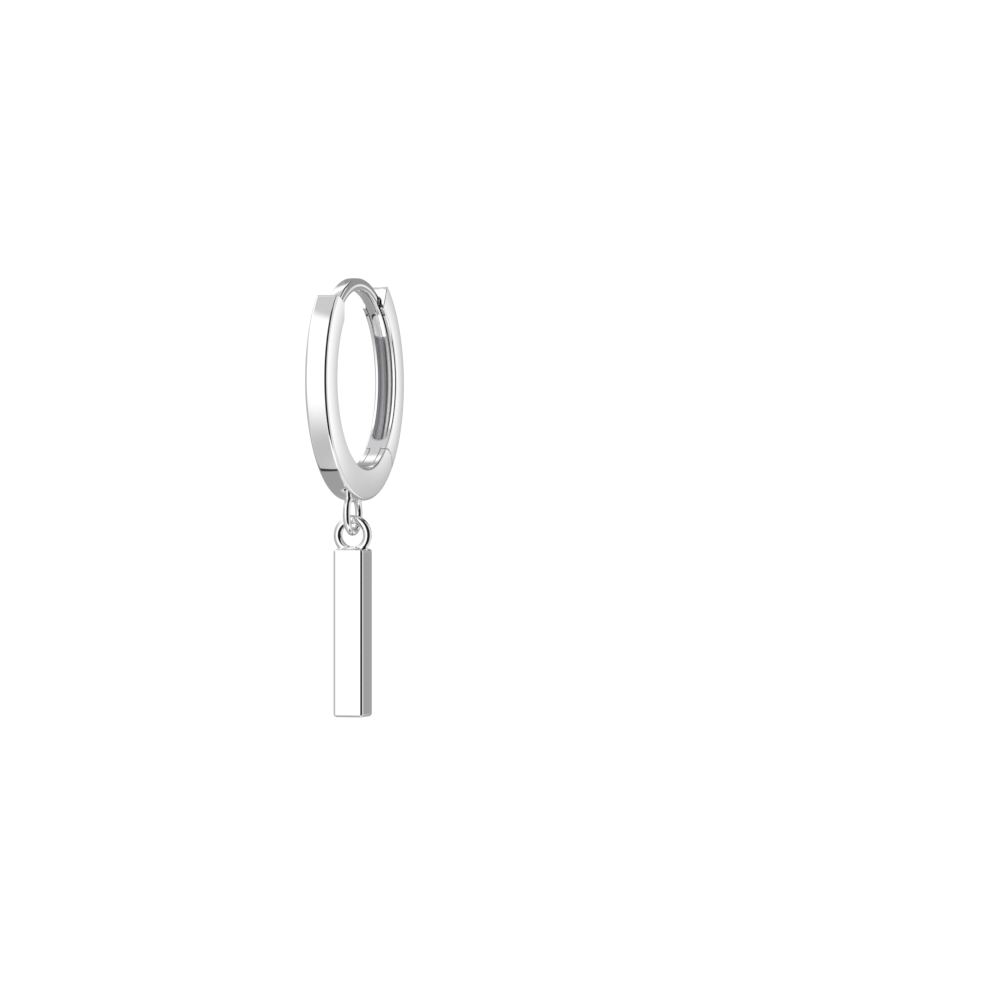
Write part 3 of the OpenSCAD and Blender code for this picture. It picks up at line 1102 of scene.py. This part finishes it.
def studio_floor(studio, acrylic):
    """A round floor that rises through a cove to the wall round it, and closes over the top the same way."""
    turns = np.linspace(0, math.pi / 2, COVE_STEPS + 1)
    inner, cove = studio.floor_radius, studio.floor_cove
    wall_top = cove + studio.floor_wall
    profile = [(0.0, 0.0)]
    profile += [(inner + cove * math.sin(turn), cove * (1 - math.cos(turn))) for turn in turns]
    profile += [(inner + cove * math.cos(turn), wall_top + cove * math.sin(turn)) for turn in turns]
    profile += [(0.0, wall_top + cove)]
    points, faces = [], []
    for radius, height in profile:
        for side in range(FLOOR_SIDES):
            turn = 2 * math.pi * side / FLOOR_SIDES
            points.append((radius * math.cos(turn), radius * math.sin(turn), height - studio.floor_below))
    for ring in range(len(profile) - 1):
        low, high = ring * FLOOR_SIDES, (ring + 1) * FLOOR_SIDES
        for side in range(FLOOR_SIDES):
            after = (side + 1) % FLOOR_SIDES
            faces.append((low + side, low + after, high + after, high + side))
    mesh = bpy.data.meshes.new("floor")
    mesh.from_pydata(points, [], faces)
    mesh.materials.append(acrylic)
    mesh.shade_smooth()
    floor = bpy.data.objects.new("floor", mesh)
    bpy.context.scene.collection.objects.link(floor)
    return floor


class EARRING_OT_stage(bpy.types.Operator):
    """Sets up the pale floor, the light and the camera"""

    bl_idname = "earring.stage"
    bl_label = "Stage"

    def execute(self, context):
        scene = context.scene
        studio, sizes = scene.earring_studio, scene.earring_sizes
        scene.view_settings.view_transform = "Standard"
        scene.world = bpy.data.worlds.new("light_tent")
        tent_light(scene.world)

        # The metal mirrors the tent alone, so the floor is out of its reflections
        floor = studio_floor(studio, back_lit_acrylic(studio.floor_colour))
        floor.visible_glossy = floor.visible_diffuse = floor.visible_shadow = False

        sin, cos = math.sin(studio.camera_azimuth), math.cos(studio.camera_azimuth)
        camera = bpy.data.objects.new("camera", bpy.data.cameras.new("camera"))
        scene.collection.objects.link(camera)
        camera.location = (
            studio.camera_aside * cos + studio.camera_distance * sin,
            sizes.hoop_back + studio.camera_aside * sin - studio.camera_distance * cos,
            -sizes.hoop_below - studio.camera_below,
        )
        # A camera that isn't turned looks straight down, so this one is raised to look level
        camera.rotation_euler = (math.radians(90), 0, studio.camera_azimuth)
        camera.data.lens = studio.lens
        camera.data.clip_start = 0.01
        camera.data.clip_end = 20
        scene.camera = camera
        return {"FINISHED"}


class EARRING_PT_panel(bpy.types.Panel):
    """Lists the earring's pieces and its stage"""

    bl_label = "Hinged Hoop Earring"
    bl_space_type = "VIEW_3D"
    bl_region_type = "UI"
    bl_category = "Earring"

    def draw(self, context):
        for operator in OPERATORS:
            self.layout.operator(operator.bl_idname)


OPERATORS = (
    EARRING_OT_front_half,
    EARRING_OT_back_half,
    EARRING_OT_hinge_pin,
    EARRING_OT_bar_drop,
    EARRING_OT_stage,
)
CLASSES = (EarringSizes, EarringFinish, EarringStudio, *OPERATORS, EARRING_PT_panel)


def register():
    """Registers the classes, and the scene's settings that they work on."""
    for cls in CLASSES:
        bpy.utils.register_class(cls)
    bpy.types.Scene.earring_sizes = bpy.props.PointerProperty(type=EarringSizes)
    bpy.types.Scene.earring_finish = bpy.props.PointerProperty(type=EarringFinish)
    bpy.types.Scene.earring_studio = bpy.props.PointerProperty(type=EarringStudio)


def unregister():
    """Takes back what register did."""
    del bpy.types.Scene.earring_studio
    del bpy.types.Scene.earring_finish
    del bpy.types.Scene.earring_sizes
    for cls in reversed(CLASSES):
        bpy.utils.unregister_class(cls)


def main():
    """Makes the pieces and the stage."""
    register()
    bpy.ops.earring.front_half()
    bpy.ops.earring.back_half()
    bpy.ops.earring.hinge_pin()
    bpy.ops.earring.bar_drop()
    bpy.ops.earring.stage()
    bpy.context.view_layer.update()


if __name__ == "__main__":
    main()
